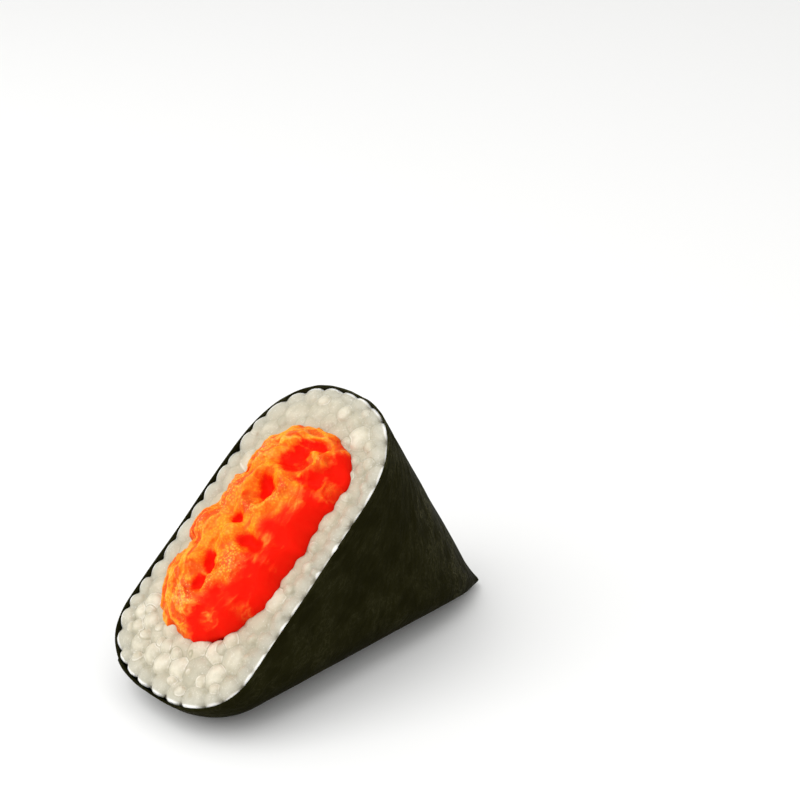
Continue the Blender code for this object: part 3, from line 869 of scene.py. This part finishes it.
def makeGrains():
    places, turns, sizes, tints, warmths = grainPoints()
    mesh = bpy.data.meshes.new("grainSpots")
    mesh.from_pydata(places, [], [])
    axes = [tiltedAxes(yaw, tilt) for yaw, tilt in turns]
    turned = np.array([matrix.transposed().to_euler() for matrix in axes])
    mesh.attributes.new("turn", "FLOAT_VECTOR", "POINT").data.foreach_set("vector", turned.ravel())
    mesh.attributes.new("size", "FLOAT_VECTOR", "POINT").data.foreach_set("vector", np.array(sizes).ravel())
    spots = bpy.data.objects.new("grainSpots", mesh)
    bpy.context.scene.collection.objects.link(spots)
    material = riceMaterial()
    heap = spots.modifiers.new("grains", "NODES")
    heap.node_group = grainTree(material)
    for item in heap.node_group.interface.items_tree:
        if item.name in rice["grain"]:
            heap[item.identifier] = rice["grain"][item.name]
    finer = spots.modifiers.new("finer", "SUBSURF")
    finer.levels = finer.render_levels = 1
    grains = evaluated(spots, "grains")
    bpy.data.objects.remove(spots)
    pressGrains(grains)
    fused = bpy.data.objects.new("fused", grains)
    bpy.context.scene.collection.objects.link(fused)
    sticky = fused.modifiers.new("sticky", "REMESH")
    sticky.mode, sticky.voxel_size, sticky.use_smooth_shade = "VOXEL", rice["voxel"], True
    soft = fused.modifiers.new("soft", "SMOOTH")
    soft.factor, soft.iterations = 0.5, 2
    grains = evaluated(fused, "riceGrains")
    bpy.data.objects.remove(fused)
    tintGrains(grains, np.array(places), np.array(axes), np.array(sizes), tints, warmths)
    addPiece("riceGrains", grains, material, ["rice"])
    makeCore(material)


def tintGrains(mesh, places, axes, sizes, tints, warmths):
    # gives each grain's part of the surface its tint, marks the grain's edge, and marks the painted highlight along the
    # wrap's edge
    spots, out = spotsOf(mesh)
    points = np.zeros(len(mesh.vertices) * 3)
    mesh.vertices.foreach_get("co", points)
    tree = KDTree(len(places))
    for i, place in enumerate(places):
        tree.insert(place, i)
    tree.balance()
    close = np.array([[found[1] for found in tree.find_n(point, 5)] for point in points.reshape(-1, 3)])
    offset = points.reshape(-1, 1, 3) - places[close]
    reach = np.linalg.norm(np.einsum("vnij,vnj->vni", axes[close], offset) / sizes[close], axis=2)
    order = np.argsort(reach, axis=1)
    own = close[np.arange(len(close)), order[:, 0]]
    lead = np.take_along_axis(reach, order, axis=1)
    gap = (lead[:, 1] - lead[:, 0]) * 2
    away, outward = outsideBy(spots, convexEdges(cutRim(0.0)))
    normals = np.zeros(len(mesh.vertices) * 3)
    mesh.vertices.foreach_get("normal", normals)
    normals = normals.reshape(-1, 3)
    turnedOut = normals[:, [0, 2]] @ upCut * outward[:, 0] + normals[:, 1] * outward[:, 1]
    near = smooth(-spots[:, 1], 0, 12 * mm)  # this side is seen squarely, so its line is drawn finer
    # painted highlight where the grains round over towards the wrap at its edge
    lip = smooth(turnedOut + near * 0.2, 0.3, 0.5) * smooth(away - near * 0.2 * mm, -1.3 * mm, -0.95 * mm)
    lip *= smooth(out, -1.6 * mm, -1.1 * mm)
    cool = smooth(away, -4.5 * mm, -1.5 * mm)
    named = (("tint", tints[own]), ("warmth", warmths[own]), ("gap", gap), ("lip", lip), ("cool", cool))
    for name, values in named:
        mesh.attributes.new(name, "FLOAT", "POINT").data.foreach_set("value", values.astype(np.float32))


def makeCore(material):
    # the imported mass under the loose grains: the rice solid, cut off below the face
    bm = bmesh.new()
    bm.from_mesh(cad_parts["rice"].data)
    bmesh.ops.remove_doubles(bm, verts=bm.verts, dist=0.001 * mm)
    level = onCut(form["cutReach"] / 2, 0, -rice["coreDepth"])
    away = Vector((outOfCut[0], 0, outOfCut[1]))
    bmesh.ops.bisect_plane(
        bm, geom=bm.verts[:] + bm.edges[:] + bm.faces[:], plane_co=level, plane_no=away, clear_outer=True
    )
    bmesh.ops.triangle_fill(bm, use_beauty=True, edges=[edge for edge in bm.edges if edge.is_boundary])
    addPiece("riceCore", meshFrom(bm, "riceCore"), material, ["rice"])


def riceMaterial():
    surface = Surface(
        "rice", roughness=0.28, specular=0.45, Subsurface_Weight=0.5, Subsurface_Scale=1.1 * mm,
        Subsurface_Radius=(1.0, 0.95, 0.85),
    )
    place = surface.place()
    tint, warmth = surface.attribute("tint"), surface.attribute("warmth")
    gap, lip = surface.attribute("gap"), surface.attribute("lip")
    cloud = surface.grain(place, 420, 3, 0.6)
    sparkle = surface.grain(place, 2600, 2, 0.7)
    pale = (tint * 0.7 + (cloud - 0.5) * 1.1 + surface.range(gap, 0.0, 1.4) * 0.25).clamped()
    colour = surface.ramp(
        pale, [(0.0, (0.44, 0.41, 0.305, 1)), (0.5, (0.53, 0.49, 0.37, 1)), (1.0, (0.72, 0.67, 0.535, 1))]
    )
    x, y, z = surface.parts(place)
    # darker towards the near side, away from the light: painted shade
    colour = surface.blend(surface.range(y, -11 * mm, -18 * mm) * 0.4, colour, (0.36, 0.31, 0.21, 1))
    colour = surface.blend(warmth * 0.3, colour, (0.60, 0.42, 0.25, 1))
    colour = surface.blend(surface.attribute("cool") * 0.35, colour, (0.48, 0.48, 0.43, 1))
    # small white specks: painted glints on the wet grains
    colour = surface.blend(surface.range(sparkle, 0.58, 0.72) * 0.4, colour, (0.86, 0.84, 0.78, 1))
    drift = surface.grain(place, 260, 1, 0.5)
    pearl = surface.range(tint, 0.6, 0.72)
    # darker where grains meet: painted shade in the creases between them
    seamShade = surface.range(gap, 0.18, 0.01) * (0.12 + surface.range(drift, 0.45, 0.62) * 0.35 + pearl * 0.45).clamped()
    colour = surface.blend(seamShade, colour, (0.36, 0.32, 0.20, 1))
    # a light line inside each grain's rim: painted highlight on its edge
    ring = surface.range(gap, 0.42, 0.26) * surface.range(gap, 0.12, 0.22)
    edge = ring * surface.range(cloud, 0.45, 0.6) * (0.08 + pearl * 0.5)
    colour = surface.blend(edge, colour, (0.84, 0.80, 0.72, 1))
    # near white along the wrap's edge: painted highlight
    colour = surface.blend(lip * 0.9, colour, (1.0, 0.99, 0.94, 1))
    pits = surface.grain(place, 1700, 3, 0.7)
    return surface.wear(Base_Color=colour, Normal=surface.bump(pits, 0.22 * mm, 0.8))


# ---- floor, light and camera

studio = {
    "floor": (0.92, 0.92, 0.91, 1),
    "worldStrength": 0.82,
    "keyPower": 4.8,
    "keyPlace": (-0.5, 0.15, 0.68),
    "keySize": 0.85,
    "turn": math.radians(-39.7),
    "rise": math.radians(30.9),
    "distance": 0.32865,
    "lens": 77.15,
    "middle": (-9.2 * mm, 0, 20 * mm),
    "aimRight": 25.45 * mm,
    "aimUp": 30.66 * mm,
}


def makeStudio():
    bpy.ops.mesh.primitive_plane_add(size=6)
    floor = bpy.context.object
    floor.name = "floor"
    surface = Surface("floor", roughness=0.7, specular=0.2)
    surface.shader.inputs["Base Color"].default_value = studio["floor"]
    floor.data.materials.append(surface.material)
    world = bpy.data.worlds.new("studio")
    world.use_nodes = True
    world.node_tree.nodes["Background"].inputs["Color"].default_value = (1, 1, 1, 1)
    world.node_tree.nodes["Background"].inputs["Strength"].default_value = studio["worldStrength"]
    bpy.context.scene.world = world
    light = bpy.data.lights.new("key", "AREA")
    light.energy, light.size = studio["keyPower"], studio["keySize"]
    key = bpy.data.objects.new("key", light)
    bpy.context.scene.collection.objects.link(key)
    key.location = studio["keyPlace"]
    key.rotation_euler = (-Vector(studio["keyPlace"])).to_track_quat("-Z", "Y").to_euler()
    turn, rise = studio["turn"], studio["rise"]
    back = Vector((math.sin(turn) * math.cos(rise), -math.cos(turn) * math.cos(rise), math.sin(rise)))
    right = Vector((math.cos(turn), math.sin(turn), 0))
    above = back.cross(right)
    middle = Vector(studio["middle"])
    camera = bpy.data.objects.new("camera", bpy.data.cameras.new("camera"))
    bpy.context.scene.collection.objects.link(camera)
    camera.data.lens = studio["lens"]
    camera.data.clip_start = 0.01
    camera.location = middle + back * studio["distance"]
    aim = middle + right * studio["aimRight"] + above * studio["aimUp"]
    camera.rotation_euler = (aim - camera.location).to_track_quat("-Z", "Y").to_euler()
    bpy.context.scene.camera = camera
    bpy.context.scene.view_settings.view_transform = "Standard"
    print("studio ready")


makeStudio()
makeNori()
makeFilling()
makeGrains()
